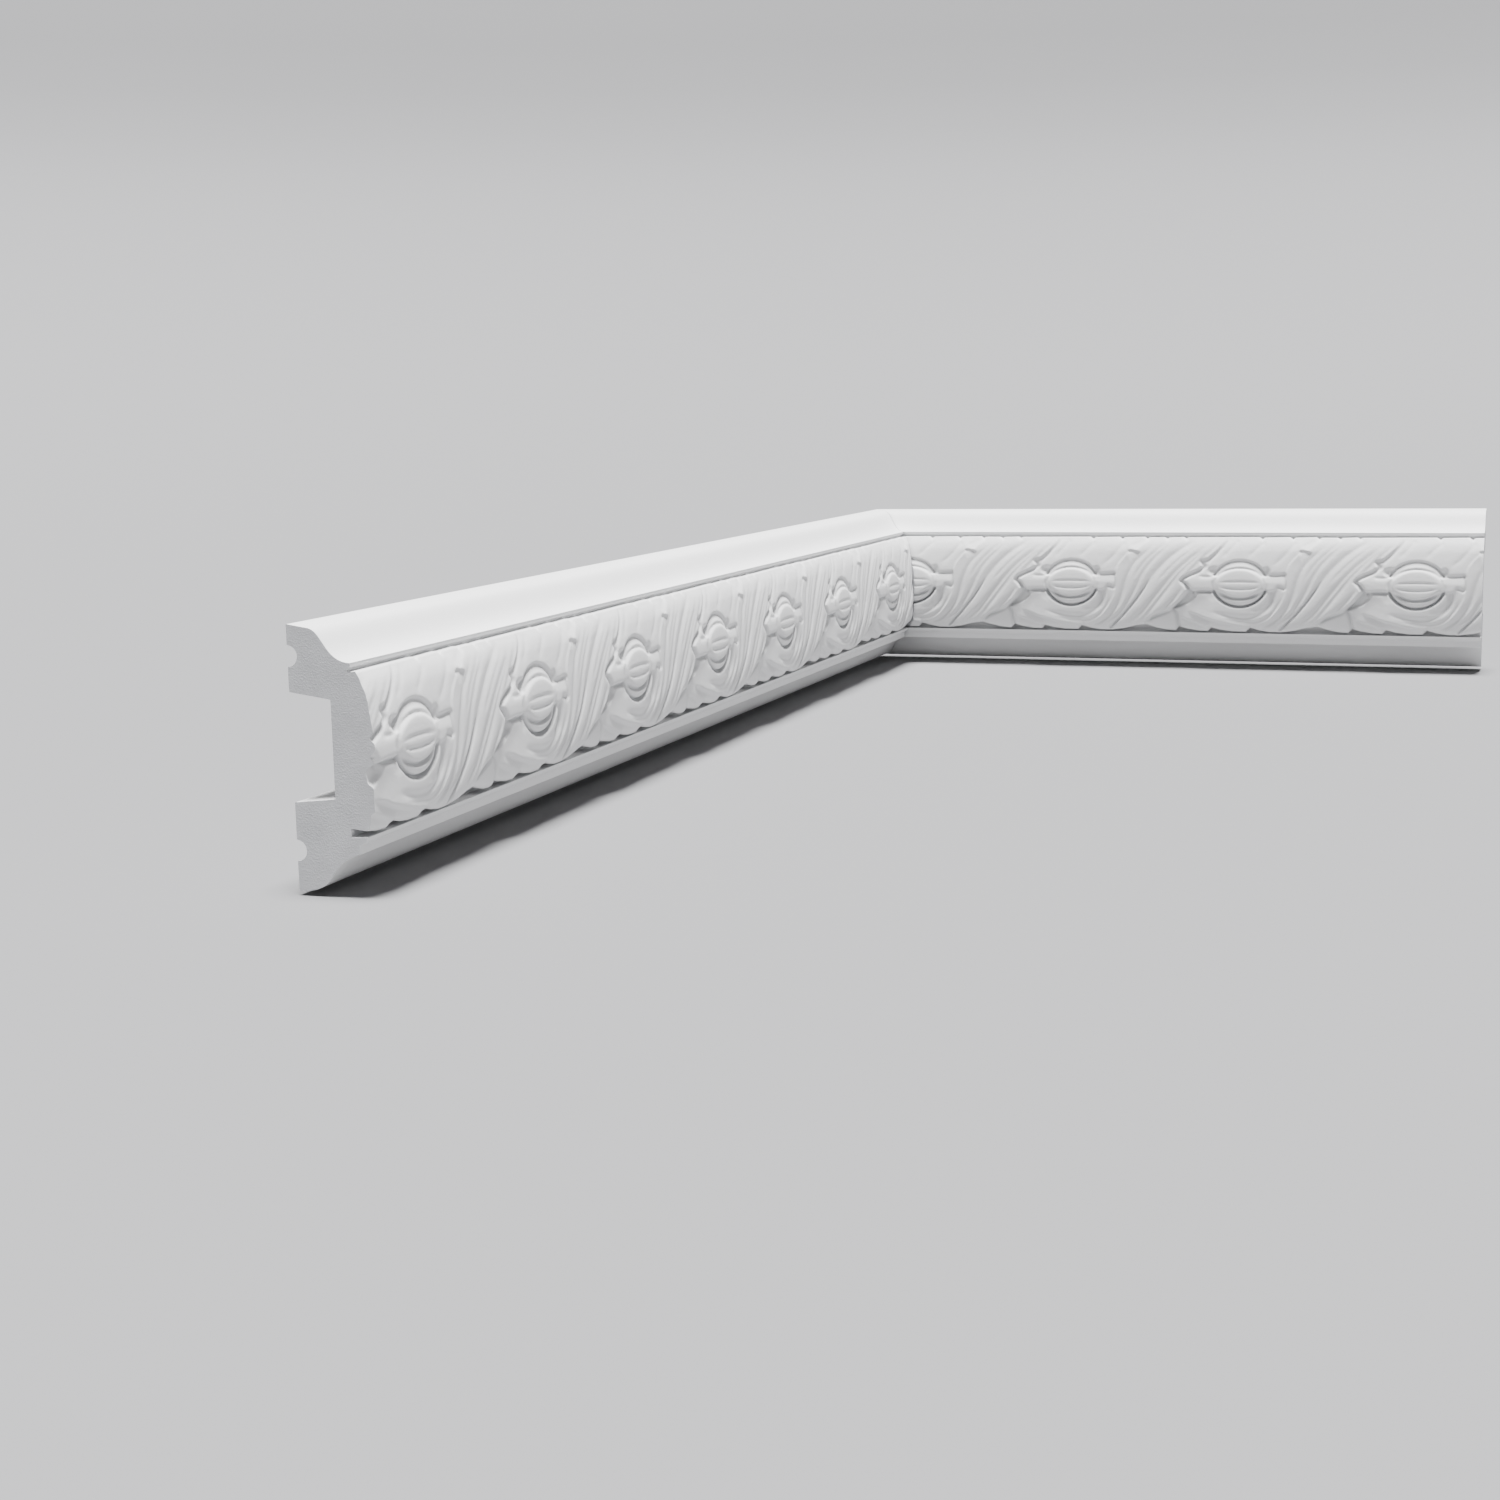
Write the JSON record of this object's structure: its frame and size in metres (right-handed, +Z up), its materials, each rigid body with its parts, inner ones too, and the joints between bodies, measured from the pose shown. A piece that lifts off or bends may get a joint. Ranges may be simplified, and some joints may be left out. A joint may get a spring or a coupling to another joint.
{
  "type": "mitred wall moulding",
  "caption": "Leaf-and-pod wall moulding: square-cut lengths meeting at a mitred inside corner, with glue grooves and a hollowed back.",
  "frame": {"origin": "on the back of the left length, at half its length, on the middle of its widest flat land, where it is glued to the wall", "axes": "+Z up; the left length runs along Y, its back faces -X and its ornament faces +X; the right length runs along +X from the corner, its back faces +Y and its ornament faces -Y"},
  "size_m": [0.458, 0.884, 0.1148],
  "materials": {
    "primed_white": "matt factory primer on cast rigid foam"
  },
  "bodies": {
    "root": {"left_length": "primed_white", "right_length": "primed_white"}
  },
  "joints": []
}
